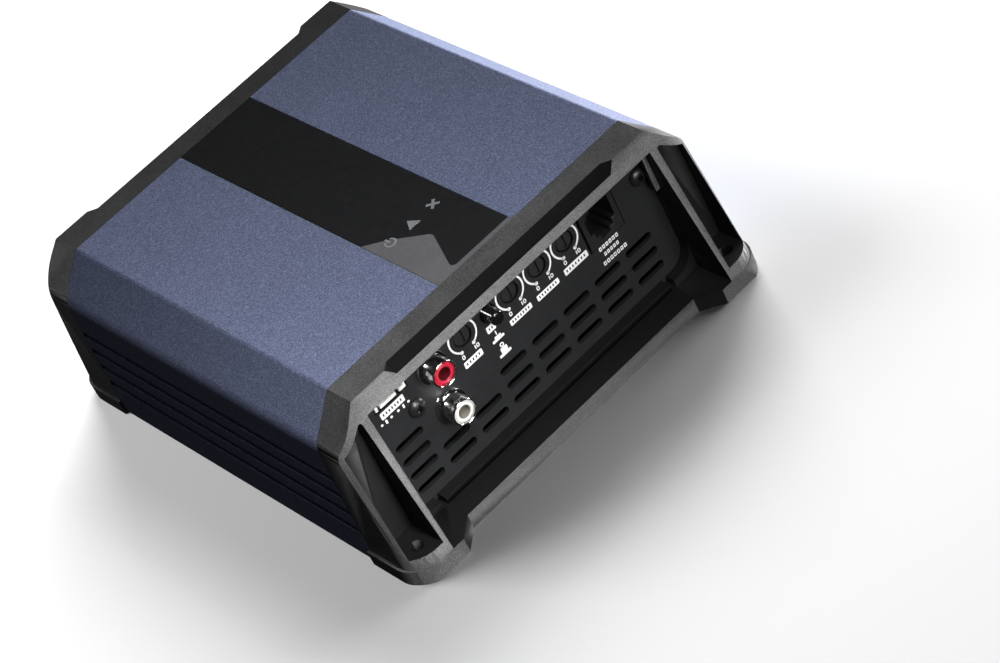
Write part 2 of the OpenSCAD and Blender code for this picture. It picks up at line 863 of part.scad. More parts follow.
module terminal_block(x, count, pitch) {
    fin = 1.6;
    half = count * pitch / 2;
    color("#18181a") difference() {
        union() {
            box(x - half, x + half, terminal_back, panel_y + 1, terminal_low, terminal_high);
            for (i = [0:count]) box(x - half + i * pitch - fin / 2, x - half + i * pitch + fin / 2,
                terminal_back, panel_y + terminal_out, terminal_low, terminal_high);
            box(x - half, x + half, terminal_back, panel_y + terminal_out, terminal_high - 2.5, terminal_high);
        }
        for (i = [0:count - 1]) rod_y(x - half + (i + 0.5) * pitch, terminal_low + 10, 2.05,
            terminal_back + 2, panel_y + 2);
    }
    color("#18181a") box(x - half + 1, x + half - 1, terminal_back, terminal_back + 3, terminal_high, board_z);
}

module terminal_plates(x, count, pitch) {
    color("#c7c4ba") for (i = [0:count - 1]) difference() {
        translate([x + (i - (count - 1) / 2) * pitch, 0, 0])
            box(-4.6, 4.6, panel_y + 1, panel_y + 1.9, terminal_low + 3, terminal_low + 17);
        rod_y(x + (i - (count - 1) / 2) * pitch, terminal_low + 10, 2.1, panel_y, panel_y + 3);
    }
}

module terminal_screws(x, count, pitch) {
    color("#c2c4c6") for (i = [0:count - 1])
        translate([x + (i - (count - 1) / 2) * pitch, panel_y + 1.9, terminal_low + 10])
            rotate([90, 0, 0]) pan_screw(8, 4, 2);
}

module power_terminal_block() {
    terminal_block(power_x, power_n, power_pitch);
}

module power_terminal_plates() {
    terminal_plates(power_x, power_n, power_pitch);
}

module power_terminal_screws() {
    terminal_screws(power_x, power_n, power_pitch);
}

module speaker_terminal_block() {
    terminal_block(speaker_x, speaker_n, speaker_pitch);
}

module speaker_terminal_plates() {
    terminal_plates(speaker_x, speaker_n, speaker_pitch);
}

module speaker_terminal_screws() {
    terminal_screws(speaker_x, speaker_n, speaker_pitch);
}

module fuse_holder() {
    color("#1c1c1e") difference() {
        box(fuse_x[0] - 6, fuse_x[1] + 6, terminal_back, panel_y + 2, fuse_z - 11, fuse_z + 11);
        for (x = fuse_x) box(x - fuse_w / 2 - 0.2, x + fuse_w / 2 + 0.2, panel_y - 8, panel_y + 2 + cut,
            fuse_z - fuse_len / 2 - 0.2, fuse_z + fuse_len / 2 + 0.2);
    }
    color("#1c1c1e") box(fuse_x[0] - 5, fuse_x[1] + 5, terminal_back, terminal_back + 3, fuse_z + 11, board_z);
}

module fuse(x) {
    half = fuse_len / 2;
    color("#c9791d") {
        box(x - fuse_w / 2, x + fuse_w / 2, panel_y + 3, panel_y + 6.5, fuse_z - half, fuse_z + half);
        box(x - fuse_w / 2 + 0.5, x + fuse_w / 2 - 0.5, panel_y - 4.5, panel_y + 3, fuse_z - half + 1,
            fuse_z + half - 1);
        for (z = [-1, 1]) translate([0, 0, fuse_z + z * 6.2])
            box(x - 0.35, x + 0.35, panel_y - 7.8, panel_y - 4.5, -2.4, 2.4);
    }
}

module fuse_left() {
    fuse(fuse_x[0]);
}

module fuse_right() {
    fuse(fuse_x[1]);
}

// Power parts

module power_transistors() {
    tab_t = 1.3;
    back = inner_half - pad_t;
    low = transistor_top - transistor_h;
    half = transistor_w / 2;
    package_h = 9;
    tab_h = 11;
    lead = 0.6;
    lead_dx = 2.5;
    bend_z = board_z - 5;
    leg_x = board_half_x - 2;
    color("#1a1a1b") both_sides() at_transistors() {
        box(back - transistor_t, back - tab_t, -half, half, low, low + package_h);
        box(back - tab_t, back, -half, half, low, low + tab_h);
        for (i = [-1:1]) translate([0, i * lead_dx, 0]) {
            box(back - 3, back - 3 + lead, -lead / 2, lead / 2, low + package_h, bend_z);
            box(leg_x, back - 3 + lead, -lead / 2, lead / 2, bend_z, bend_z + lead);
            box(leg_x, leg_x + lead, -lead / 2, lead / 2, bend_z + lead, board_z);
        }
    }
}

module thermal_pads() {
    low = transistor_top - transistor_h - 0.5;
    color("#b7bdc4") both_sides() at_transistors()
        box(inner_half - pad_t, inner_half, -5.6, 5.6, low, low + 13);
}

module clamp_bars() {
    outer = inner_half - pad_t - transistor_t;
    mid = transistor_top - transistor_h / 2;
    length = transistor_pitch * transistor_n - 4;
    color("#a9adb2") both_sides() difference() {
        box(outer - bar_t, outer, -length / 2, length / 2, mid - 7, mid + 1.4);
        at_clamp_screws() translate([outer - bar_t - cut, 0, mid]) rotate([0, 90, 0])
            cylinder(r = m3_hole_r + 0.1, h = bar_t + 2 * cut);
    }
}

module clamp_screws() {
    outer = inner_half - pad_t - transistor_t - bar_t;
    color("#c4c6c8") both_sides() at_clamp_screws()
        translate([outer, 0, transistor_top - transistor_h / 2]) rotate([0, 90, 0]) pan_screw(8.4);
}

module ring_core(outer, inner, high, low_z) {
    translate([0, 0, low_z]) rotate_extrude($fn = 72) translate([inner, 0]) square([outer - inner, high]);
}

module winding(outer, inner, high, low_z, turns, wire) {
    for (i = [0:turns - 1]) rotate([90, 0, i * 360 / turns]) translate([0, 0, -wire / 2])
        linear_extrude(height = wire) difference() {
            translate([inner - wire, low_z - wire]) square([outer - inner + 2 * wire, high + 2 * wire]);
            translate([inner - gap, low_z - gap]) square([outer - inner + 2 * gap, high + 2 * gap]);
        }
}

module transformer_core() {
    color("#4a4d50") translate([22, 18, 0]) ring_core(17, 9, 14, board_z - 16);
}

module transformer_winding() {
    color("#b4642b") translate([22, 18, 0]) winding(17, 9, 14, board_z - 16, 26, 1.4);
}

module output_choke_core() {
    color("#6b6f52") translate([-24, 26, 0]) ring_core(12, 6, 11, board_z - 12.6);
}

module output_choke_winding() {
    color("#b4642b") translate([-24, 26, 0]) winding(12, 6, 11, board_z - 12.6, 20, 1.2);
}

module capacitor(r, high) {
    neck = 0.5;
    translate([0, 0, board_z - high]) rotate_extrude() polygon([
        [0, 0], [r - 1, 0], [r, 1], [r, high - 4], [r - neck, high - 3.4], [r - neck, high - 2.8],
        [r, high - 2.2], [r, high], [0, high]
    ]);
}

module input_capacitors() {
    color("#1d2b4a") for (y = [-30, -10]) translate([20, y, 0]) capacitor(8, 34);
}

module rail_capacitors() {
    color("#1d2b4a") for (x = [-40, -18], y = [-30, -8]) translate([x, y, 0]) capacitor(8, 30);
}

module driver_board() {
    color("#20603c") {
        box(38, 39.2, -34, 4, board_z - 20, board_z);
        box(39.2, 41, -26, -16, board_z - 14, board_z - 8);
        box(39.2, 41, -10, -2, board_z - 14, board_z - 8);
    }
}

heat_sink();
bottom_cover();
front_cap();
rear_cap();
front_panel();
rear_panel();
top_label();
label_accent();
indicator_windows();
light_pipes();
indicator_leds();
main_board();
insulating_sheet();
board_pillars();
board_screws();
panel_brackets();
front_panel_screws();
rear_panel_screws();
cover_screws();
rca_block();
rca_shells();
rca_insulator_red();
rca_insulator_white();
rca_contacts();
gain_pot();
lowpass_pot();
subsonic_pot();
bass_pot();
gain_knob();
lowpass_knob();
subsonic_knob();
bass_knob();
switch_body();
power_button();
remote_jack();
remote_jack_contacts();
input_header();
input_header_pins();
power_terminal_block();
power_terminal_plates();
power_terminal_screws();
speaker_terminal_block();
speaker_terminal_plates();
speaker_terminal_screws();
fuse_holder();
fuse_left();
fuse_right();
power_transistors();
thermal_pads();
clamp_bars();
clamp_screws();
transformer_core();
transformer_winding();
output_choke_core();
output_choke_winding();
input_capacitors();
rail_capacitors();
driver_board();
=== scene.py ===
import json
import math

import bmesh
import bpy
from mathutils import Matrix, Vector
from mathutils.geometry import tessellate_polygon

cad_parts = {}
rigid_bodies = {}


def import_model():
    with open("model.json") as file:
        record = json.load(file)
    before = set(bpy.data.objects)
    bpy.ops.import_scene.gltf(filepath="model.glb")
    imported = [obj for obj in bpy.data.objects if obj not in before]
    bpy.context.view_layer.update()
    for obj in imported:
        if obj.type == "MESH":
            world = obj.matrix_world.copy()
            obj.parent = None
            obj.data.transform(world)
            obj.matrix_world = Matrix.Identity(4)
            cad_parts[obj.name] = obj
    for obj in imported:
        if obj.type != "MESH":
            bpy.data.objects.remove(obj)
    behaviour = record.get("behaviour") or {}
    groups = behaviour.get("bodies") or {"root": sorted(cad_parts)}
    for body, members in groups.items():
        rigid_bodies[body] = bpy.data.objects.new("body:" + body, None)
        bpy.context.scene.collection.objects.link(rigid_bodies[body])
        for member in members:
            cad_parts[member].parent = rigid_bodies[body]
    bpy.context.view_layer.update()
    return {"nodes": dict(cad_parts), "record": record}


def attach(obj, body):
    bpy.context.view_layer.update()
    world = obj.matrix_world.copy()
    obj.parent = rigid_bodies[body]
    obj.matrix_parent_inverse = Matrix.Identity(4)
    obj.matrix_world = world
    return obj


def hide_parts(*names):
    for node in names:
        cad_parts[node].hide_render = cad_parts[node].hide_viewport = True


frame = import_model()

MM = 0.001
NODES = frame["nodes"]
BODY_OF = {node: body for body, nodes in frame["record"]["behaviour"]["bodies"].items() for node in nodes}
SLOT_OF = {part["node"]: part["material_slot"] for part in frame["record"]["subparts"]}
scene = bpy.context.scene

# Sizes in millimetres, in the row frame
TOP = 61.0              # top of the casing
SINK_HALF = 65.0        # half of the heat sink's length
PANEL_Y = -70.0         # outer face of the front panel; the rear panel mirrors it
KNOB_Z = 45.35          # height of the four rotors and the button
KNOBS = {"gain": -18.1, "lowpass": 1.4, "subsonic": 12.9, "bass": 24.4}
BUTTON_X = -7.65
HEAD_BACK_Y = -68.0     # back of the rotors' and the button's heads
SHAFT_R = 1.5           # radius of their shafts
RCA_X = -31.3
RCA_Z = {"white": 29.7, "red": 45.5}


# ---------------------------------------------------------------- materials

class Paint:
    """A Principled material with helpers that add procedural detail in object coordinates."""

    def __init__(self, name, color, rough, metallic=0.0, specular=0.5, coat=0.0):
        self.mat = bpy.data.materials.new(name)
        self.mat.use_nodes = True
        self.tree = self.mat.node_tree
        self.shader = self.tree.nodes["Principled BSDF"]
        self.color, self.rough = color, rough
        self.shader.inputs["Base Color"].default_value = (*color, 1)
        self.shader.inputs["Roughness"].default_value = rough
        self.shader.inputs["Metallic"].default_value = metallic
        self.shader.inputs["Specular IOR Level"].default_value = specular
        self.shader.inputs["Coat Weight"].default_value = coat
        self.where = self.add("ShaderNodeTexCoord").outputs["Object"]
        self.normal = None
        self.base = None

    def add(self, kind, **values):
        node = self.tree.nodes.new(kind)
        for key, value in values.items():
            setattr(node, key, value)
        return node

    def join(self, a, b):
        self.tree.links.new(a, b)

    def noise(self, size_mm, detail=2.0, stretch=(1, 1, 1)):
        """Noise whose features are about size_mm across."""
        place = self.add("ShaderNodeMapping")
        place.inputs["Scale"].default_value = stretch
        self.join(self.where, place.inputs["Vector"])
        tex = self.add("ShaderNodeTexNoise")
        tex.inputs["Scale"].default_value = 1 / (size_mm * MM)
        tex.inputs["Detail"].default_value = detail
        self.join(place.outputs["Vector"], tex.inputs["Vector"])
        return tex.outputs["Fac"]

    def cells(self, size_mm):
        """A random grey for each cell of about size_mm."""
        tex = self.add("ShaderNodeTexVoronoi")
        tex.inputs["Scale"].default_value = 1 / (size_mm * MM)
        self.join(self.where, tex.inputs["Vector"])
        split = self.add("ShaderNodeSeparateColor")
        self.join(tex.outputs["Color"], split.inputs["Color"])
        return split.outputs["Red"]

    def ramp(self, fac, low, high, start=0.3, end=0.7):
        """Maps fac from start..end to low..high."""
        node = self.add("ShaderNodeMapRange")
        node.inputs["From Min"].default_value = start
        node.inputs["From Max"].default_value = end
        node.inputs["To Min"].default_value = low
        node.inputs["To Max"].default_value = high
        self.join(fac, node.inputs["Value"])
        return node.outputs["Result"]

    def tint(self, fac, color, low=0.0, high=1.0, start=0.3, end=0.7):
        """Mixes color in where fac is high."""
        mix = self.add("ShaderNodeMix", data_type="RGBA")
        self.join(self.ramp(fac, low, high, start, end), mix.inputs["Factor"])
        a, b = [s for s in mix.inputs if s.name in "AB" and s.type == "RGBA"]
        a.default_value = (*self.color, 1)
        if self.base:
            self.join(self.base, a)
        b.default_value = (*color, 1)
        self.base = [s for s in mix.outputs if s.type == "RGBA"][0]
        self.join(self.base, self.shader.inputs["Base Color"])
        return self

    def vary_rough(self, fac, spread):
        """Varies the roughness by spread either way."""
        self.join(self.ramp(fac, self.rough - spread, self.rough + spread), self.shader.inputs["Roughness"])
        return self

    def bump(self, fac, height_mm):
        """Raises the surface where fac is high, on top of earlier bumps."""
        node = self.add("ShaderNodeBump")
        node.inputs["Distance"].default_value = height_mm * MM
        node.inputs["Strength"].default_value = 1.0
        self.join(fac, node.inputs["Height"])
        if self.normal:
            self.join(self.normal, node.inputs["Normal"])
        self.normal = node.outputs["Normal"]
        self.join(self.normal, self.shader.inputs["Normal"])
        return self


def shade(color, factor):
    """A lighter or darker tone of a colour."""
    return tuple(min(1.0, c * factor) for c in color)


def moulded(name, color, rough, grain_mm=0.35, depth_mm=0.03, contrast=0.35, specular=0.5):
    """Spark-eroded moulded plastic: fine grain, slightly cloudy colour."""
    p = Paint(name, color, rough, specular=specular)
    grain = p.noise(grain_mm, detail=3)
    p.tint(p.noise(9, detail=3), shade(color, 1 + contrast * 0.6))
    p.tint(grain, shade(color, 1 - contrast), high=0.8, start=0.35, end=0.65)
    p.vary_rough(p.noise(2.5), 0.05)
    p.bump(grain, depth_mm)
    return p.mat


def smooth_plastic(name, color, rough, coat=0.0):
    """Glossy moulding with a slight cloudiness."""
    p = Paint(name, color, rough, coat=coat)
    p.tint(p.noise(4, detail=3), shade(color, 0.82))
    p.vary_rough(p.noise(1.2, detail=4), 0.05)
    p.bump(p.noise(1.5), 0.006)
    return p.mat


def plated(name, color, rough, brushed=(1, 1, 1)):
    """Metal whose roughness varies; brushed stretches its grain."""
    p = Paint(name, color, rough, metallic=1.0)
    p.tint(p.noise(3, detail=4), shade(color, 0.8))
    p.vary_rough(p.noise(0.5, detail=4, stretch=brushed), min(0.07, rough / 3))
    p.bump(p.noise(1.2, stretch=brushed), 0.002)
    return p.mat


def sparkle_paint(name, color, rough):
    """The heat sink's slate-blue coat: matte, with fine flakes that differ in tone."""
    p = Paint(name, color, rough, metallic=0.15)
    p.tint(p.noise(22, detail=2), shade(color, 0.92))
    p.tint(p.cells(0.22), shade(color, 0.5), low=0.0, high=0.8, start=0.15, end=0.6)
    p.tint(p.cells(0.25), shade(color, 1.9), low=0.0, high=0.75, start=0.6, end=1.0)
    p.vary_rough(p.cells(0.3), 0.08)
    p.bump(p.noise(0.35, detail=2), 0.012)
    return p.mat


def board_paint(name, color):
    """Solder mask with lighter streaks that read as tracks."""
    p = Paint(name, color, 0.35, coat=0.3)
    p.tint(p.noise(2.2, detail=0, stretch=(1, 0.15, 1)), shade(color, 1.7), high=0.8, start=0.5, end=0.52)
    p.tint(p.noise(2.2, detail=0, stretch=(0.15, 1, 1)), shade(color, 1.5), high=0.7, start=0.55, end=0.57)
    p.bump(p.noise(0.8), 0.01)
    return p.mat


def wire_paint(name, color):
    """Enamelled wire."""
    p = Paint(name, color, 0.3, metallic=1.0)
    p.tint(p.noise(1.5, detail=3), shade(color, 0.7))
    p.bump(p.noise(0.8), 0.01)
    return p.mat


CAP_TEXTURE = dict(grain_mm=0.3, depth_mm=0.06, contrast=0.85)
CAP_SMOOTH = dict(grain_mm=0.5, depth_mm=0.004, contrast=0.2)

# One finish for each material slot of the record
MAT = {
    "sink_blue": sparkle_paint("slate_coat", (0.190, 0.221, 0.355), 0.5),
    "cap_plastic": moulded("cap_moulding", (0.100, 0.100, 0.103), 0.52, **CAP_TEXTURE),
    "panel_black": moulded("panel_coat", (0.0165, 0.017, 0.018), 0.45, grain_mm=0.3, depth_mm=0.008,
                           specular=0.35),
    "cover_black": moulded("cover_coat", (0.03, 0.03, 0.032), 0.5),
    "label_black": moulded("label_moulding", (0.0145, 0.015, 0.016), 0.5, grain_mm=0.3, depth_mm=0.006,
                           contrast=0.2, specular=0.25),
    "label_grey": moulded("label_accent_grey", (0.148, 0.147, 0.155), 0.5, grain_mm=0.3, depth_mm=0.01),
    "icon_window": smooth_plastic("icon_window", (0.30, 0.31, 0.33), 0.35),
    "clear_plastic": smooth_plastic("pipe_clear", (0.70, 0.72, 0.74), 0.2),
    "led_body": smooth_plastic("led_diffuser", (0.75, 0.72, 0.58), 0.3),
    "board_green": board_paint("solder_mask", (0.02, 0.11, 0.045)),
    "sheet_amber": smooth_plastic("insulating_film", (0.48, 0.36, 0.10), 0.35),
    "brass_plain": plated("turned_brass", (0.70, 0.52, 0.24), 0.3),
    "steel_zinc": plated("zinc_plate", (0.62, 0.63, 0.65), 0.35),
    "steel_black": smooth_plastic("black_oxide", (0.014, 0.014, 0.015), 0.32),
    "socket_black": moulded("socket_moulding", (0.014, 0.014, 0.0155), 0.42, grain_mm=0.3, depth_mm=0.01),
    "nickel": plated("nickel_plate", (0.74, 0.74, 0.73), 0.12),
    "socket_red": smooth_plastic("insulator_red", (0.58, 0.02, 0.05), 0.3, coat=0.3),
    "socket_white": smooth_plastic("insulator_white", (0.82, 0.82, 0.80), 0.3, coat=0.3),
    "contact_gold": plated("gold_flash", (0.72, 0.54, 0.22), 0.3),
    "knob_black": moulded("rotor_moulding", (0.016, 0.016, 0.0175), 0.45, grain_mm=0.3, depth_mm=0.01),
    "button_black": smooth_plastic("button_gloss", (0.006, 0.006, 0.007), 0.16, coat=0.6),
    "header_white": moulded("header_nylon", (0.78, 0.78, 0.75), 0.45, grain_mm=0.4, depth_mm=0.01,
                            contrast=0.08),
    "tin": plated("tin_plate", (0.70, 0.70, 0.69), 0.38),
    "fuse_orange": moulded("fuse_amber", (0.78, 0.24, 0.015), 0.3, grain_mm=0.8, depth_mm=0.003,
                           contrast=0.06),
    "package_black": moulded("package_epoxy", (0.02, 0.02, 0.021), 0.55),
    "pad_grey": moulded("pad_silicone", (0.40, 0.44, 0.48), 0.7, contrast=0.15),
    "aluminium_plain": plated("mill_aluminium", (0.62, 0.63, 0.65), 0.42, brushed=(1, 0.1, 1)),
    "ferrite": moulded("core_coating", (0.06, 0.064, 0.07), 0.5),
    "powder_core": moulded("choke_coating", (0.13, 0.15, 0.07), 0.5),
    "copper_wire": wire_paint("enamelled_copper", (0.60, 0.22, 0.08)),
    "sleeve_blue": smooth_plastic("shrink_sleeve", (0.012, 0.022, 0.075), 0.3),
}

# Finishes for parts of a piece, and for the print
# The rear cap is the front cap's moulding in a darker tone: painted shade for the far end, which gets less
# light.
REAR_CAP_SHADED = moulded("rear_cap_moulding", (0.034, 0.034, 0.035), 0.6, specular=0.3, **CAP_TEXTURE)
# The caps' inside faces (pockets, recess, inner walls): the moulding much darker and smoother, as painted
# shade in the hollows.
CAP_INSIDE_SHADE = moulded("cap_inner_black", (0.010, 0.010, 0.0105), 0.5, specular=0.2, **CAP_SMOOTH)
NOTCH_BLACK = moulded("cap_notch_black", (0.006, 0.006, 0.0062), 0.8, specular=0.04, **CAP_SMOOTH)
# The front of the flange: the cap moulding in a darker tone, as painted shade on the lip.
FLANGE_SHADE = moulded("cap_flange_moulding", (0.044, 0.044, 0.045), 0.55, **CAP_TEXTURE)
PRINT = smooth_plastic("print_white", (0.95, 0.95, 0.94), 0.5)
# The insulators' bores: darker tones of the red and the white, as painted shade in the holes.
BORE_SHADE = {"red": smooth_plastic("insulator_bore_red", (0.10, 0.002, 0.006), 0.5),
        "white": smooth_plastic("insulator_bore_white", (0.30, 0.29, 0.23), 0.5)}


# ------------------------------------------------------------- mesh helpers

def to_object(name, bm):
    """Makes a bmesh in millimetres an object in metres."""
    bmesh.ops.scale(bm, vec=(MM, MM, MM), verts=bm.verts)
    mesh = bpy.data.meshes.new(name)
    bm.to_mesh(mesh)
    bm.free()
    made = bpy.data.objects.new(name, mesh)
    scene.collection.objects.link(made)
    return made


def shade_smooth(mesh, angle):
    """Smooth shading with sharp edges where the faces meet at more than angle degrees."""
    for face in mesh.polygons:
        face.use_smooth = True
    mesh.set_sharp_from_angle(angle=math.radians(angle))


def publish(name, bm, material, node=None, smooth=32):
    """Turns a bmesh into a piece that stands for a CAD node, or into an extra piece on the chassis."""
    bmesh.ops.remove_doubles(bm, verts=bm.verts, dist=1e-4)
    bmesh.ops.recalc_face_normals(bm, faces=bm.faces)
    piece = to_object(name, bm)
    piece.data.materials.append(material)
    shade_smooth(piece.data, smooth)
    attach(piece, BODY_OF[node] if node else "chassis")
    if node:
        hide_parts(node)
    return piece


def bevel(piece, width_mm, segments=2, angle=32):
    """Rounds the piece's sharp edges with real geometry, and keeps its flat faces flat."""
    mod = piece.modifiers.new("edges", "BEVEL")
    mod.width = width_mm * MM
    mod.segments = segments
    mod.limit_method = "ANGLE"
    mod.angle_limit = math.radians(angle)
    mod.miter_outer = "MITER_ARC"
    weighted = piece.modifiers.new("normals", "WEIGHTED_NORMAL")
    weighted.weight = 100
    weighted.keep_sharp = True
    return piece


def cad_mesh(node, weld_mm=0.02, flat_degrees=0.6):
    """A CAD node's mesh in millimetres, with its flat faces made whole."""
    bm = bmesh.new()
    bm.from_mesh(NODES[node].data)
    bmesh.ops.transform(bm, matrix=Matrix.Scale(1 / MM, 4) @ NODES[node].matrix_world, verts=bm.verts)
    bmesh.ops.remove_doubles(bm, verts=bm.verts, dist=weld_mm)
    bmesh.ops.dissolve_limit(bm, angle_limit=math.radians(flat_degrees), verts=bm.verts, edges=bm.edges)
    many_sided = [face for face in bm.faces if len(face.verts) > 4]
    bmesh.ops.triangulate(bm, faces=many_sided, quad_method="BEAUTY", ngon_method="EAR_CLIP")
    return bm


def soften(node, width_mm):
    """The CAD node again, with rounded edges."""
    bevel(publish(node + "_part", cad_mesh(node), MAT[SLOT_OF[node]], node), width_mm)


def block(bm, x, y, z):
    """A box in bm between the pairs x, y and z."""
    made = bmesh.ops.create_cube(bm, size=1)["verts"]
    for v in made:
        v.co = Vector([(a + b) / 2 + c * (b - a) for (a, b), c in zip((x, y, z), v.co)])


def revolve(bm, profile, turns, place, closed=True):
    """Turns (radius, distance) points about an axis; place maps (x, y, distance) to a place in the frame."""
    rings = []
    for i in range(turns):
        a = 2 * math.pi * i / turns
        rings.append([bm.verts.new(place(r * math.cos(a), r * math.sin(a), d)) for r, d in profile])
    count = len(profile)
    for a, b in zip(rings, rings[1:] + rings[:1]):
        for j in range(count if closed else count - 1):
            k = (j + 1) % count
            bm.faces.new((a[j], a[k], b[k], b[j]))


def lathe(bm, profile, x, z, turns=48):
    """Turns (radius, y) points about the line along y at x and z."""
    revolve(bm, profile, turns, lambda u, v, y: Vector((x + u, y, z + v)))


def flat(bm, loops, z0, z1, where):
    """Extrudes a flat shape with holes. loops is the outline, then holes; where maps (u, v, w) to a place."""
    points = [p for loop in loops for p in loop]
    triangles = tessellate_polygon([[Vector((*p, 0)) for p in loop] for loop in loops])
    low, high = [[bm.verts.new(where(u, v, z)) for u, v in points] for z in (z0, z1)]
    for a, b, c in triangles:
        bm.faces.new([low[i] for i in (a, b, c)])
        bm.faces.new([high[i] for i in (c, b, a)])
    start = 0
    for loop in loops:
        n = len(loop)
        for k in range(n):
            i, j = start + k, start + (k + 1) % n
            bm.faces.new((low[i], low[j], high[j], high[i]))
        start += n


def on_panel(u, v, w):
    """Panel coordinates: across, up, and out of the front panel."""
    return Vector((u, PANEL_Y - w, v))


def fillet(a, b, c, r, n=6):
    """Points of a round of radius r at corner b."""
    a, b, c = Vector(a), Vector(b), Vector(c)
    u, v = (a - b).normalized(), (c - b).normalized()
    half = u.angle(v) / 2
    centre = b + (u + v).normalized() * r / math.sin(half)
    first, last = b + u * r / math.tan(half) - centre, b + v * r / math.tan(half) - centre
    start = math.atan2(first.y, first.x)
    sweep = math.remainder(math.atan2(last.y, last.x) - start, 2 * math.pi)
    return [centre + r * Vector((math.cos(start + sweep * i / n), math.sin(start + sweep * i / n)))
            for i in range(n + 1)]


def rounded(points, radii, n=6):
    """A closed outline with each corner rounded by its radius; 0 keeps it sharp."""
    out = []
    count = len(points)
    for i, (p, r) in enumerate(zip(points, radii)):
        if r:
            out += [tuple(q) for q in fillet(points[i - 1], p, points[(i + 1) % count], r, n)]
        else:
            out.append(tuple(p))
    return out


def bar_outline(x0, x1, z0, z1, r, n=4):
    """A rectangle with round corners."""
    return rounded([(x0, z0), (x1, z0), (x1, z1), (x0, z1)], [r] * 4, n)


def disc_outline(x, z, r, n=24):
    return [(x + r * math.cos(2 * math.pi * i / n), z + r * math.sin(2 * math.pi * i / n)) for i in range(n)]


# ---------------------------------------------------------------- end caps

# Where a cap's finishes change, in front-cap coordinates
CAP_TOP_Z = 60
CAP_SIDE_X, CAP_SHOULDER_Z = 71.4, 47.9
CAP_CORNER_X = 62.5
FLANGE_Z, FLANGE_Y, FLANGE_HALF = 5.4, -82, 49
LEDGE_Z, LEDGE_X = 6, 60
RIB_Z, RIB_Y, RIB_NEAR, RIB_FAR = 38, -73.9, 56, 59.3
NOTCH_Z, NOTCH_Y, NOTCH_HALF = 55, -72, 51


def outer_face(centre, normal):
    """True where a cap's face belongs to its textured outside, in front-cap coordinates."""
    across = abs(centre.x)
    outward = normal.x * math.copysign(1, centre.x)
    faces_front, faces_up, faces_down = normal.y < -0.99, normal.z > 0.99, normal.z < -0.99
    on_slope = normal.y < -0.96 and normal.z > 0.2
    on_top = faces_up and centre.z > CAP_TOP_Z
    on_side = outward > 0.3 and (across > CAP_SIDE_X or centre.z > CAP_SHOULDER_Z)
    on_round = outward > 0.02 and normal.y < -0.02 and across > CAP_CORNER_X
    on_lip = faces_front and centre.z < FLANGE_Z and centre.y < FLANGE_Y
    on_ledge = faces_up and centre.z < LEDGE_Z and across > LEDGE_X
    on_rib = faces_front and centre.z > RIB_Z and RIB_NEAR < across < RIB_FAR and centre.y < RIB_Y
    return on_slope or on_top or on_side or on_round or on_lip or on_ledge or on_rib or faces_down


def cap_slot(centre, normal):
    """Which of the cap's finishes a face has: 0 outside, 1 inside (painted shade), 2 top notch, 3 front of
    the flange (painted shade).
    """
    if outer_face(centre, normal):
        return 3 if centre.z < FLANGE_Z and abs(centre.x) < FLANGE_HALF else 0
    return 2 if centre.z > NOTCH_Z and abs(centre.x) < NOTCH_HALF and centre.y < NOTCH_Y else 1


def cap(node, outer, turn):
    """An end cap with its textured outside and its smoother inside, darkened as painted shade; turn is -1 for
    the rear cap.
    """
    bm = cad_mesh(node)
    bm.normal_update()
    for face in bm.faces:
        middle = face.calc_center_median()
        centre, normal = [Vector((turn * v.x, turn * v.y, v.z)) for v in (middle, face.normal)]
        face.material_index = cap_slot(centre, normal)
    piece = publish(node + "_moulding", bm, outer, node)
    # Besides the notch black, these finishes darken the inside and the flange front as painted shade.
    for finish in (CAP_INSIDE_SHADE, NOTCH_BLACK, FLANGE_SHADE):
        piece.data.materials.append(finish)
    bevel(piece, 0.2)


# --------------------------------------------------------------- heat sink

SHOULDER = (71.5, 48)       # where the sloping shoulder meets the side
FLARE = 1.7                 # how much further out the side is at the bottom
GROOVES, GROOVE_Z, GROOVE_PITCH = 4, 12.4, 7.05
GROOVE_HIGH, GROOVE_DEEP, GROOVE_FLOOR = 2.2, 1.1, 0.55


def side_half(z):
    """Half of the heat sink's width at height z on the side."""
    x, high = SHOULDER
    return x + FLARE * (high - z) / high


def sink_outline():
    """Right half of the extrusion's section, outside from the label channel down, then back inside."""
    channel_half, channel_z, roof_half = 15.1, 60.2, 60
    foot_z, rail_z, wall_x, ceiling_z = 0.6, 2.5, 68, 57
    points = [(channel_half, channel_z), (channel_half, TOP), (roof_half, TOP), SHOULDER]
    radii = [0, 0.15, 1.6, 7.5]
    for i in reversed(range(GROOVES)):
        z = GROOVE_Z + GROOVE_PITCH * i
        deep = side_half(z) - GROOVE_DEEP
        points += [(side_half(z + GROOVE_HIGH), z + GROOVE_HIGH), (deep, z + GROOVE_FLOOR), (deep, z),
                   (side_half(z), z)]
        radii += [0.4, 0.2, 0.12, 0.35]
    points += [(side_half(foot_z), foot_z), (69, foot_z), (69, rail_z), (61, rail_z), (61, 5.2),
               (wall_x, 5.2), (wall_x, 45.2), (57.5, ceiling_z), (0, ceiling_z), (0, channel_z)]
    radii += [0.4, 0.2, 0, 0.2, 0.2, 0.5, 1, 1, 0, 0]
    return [p for p in rounded(points, radii) if p[0] > 1e-6]


def heat_sink():
    """The extrusion. Each end stops just short of its CAD node's, which leaves a fine seam at the caps."""
    half = sink_outline()
    loop = half + [(-x, z) for x, z in reversed(half)]
    seam = 0.12
    end = SINK_HALF - seam
    bm = bmesh.new()
    flat(bm, [loop], -end, end, lambda u, v, w: Vector((u, w, v)))
    piece = publish("heat_sink_extrusion", bm, MAT["sink_blue"], "heat_sink", smooth=28)
    bevel(piece, 0.18, angle=60)


# ------------------------------------------------------------ label and top

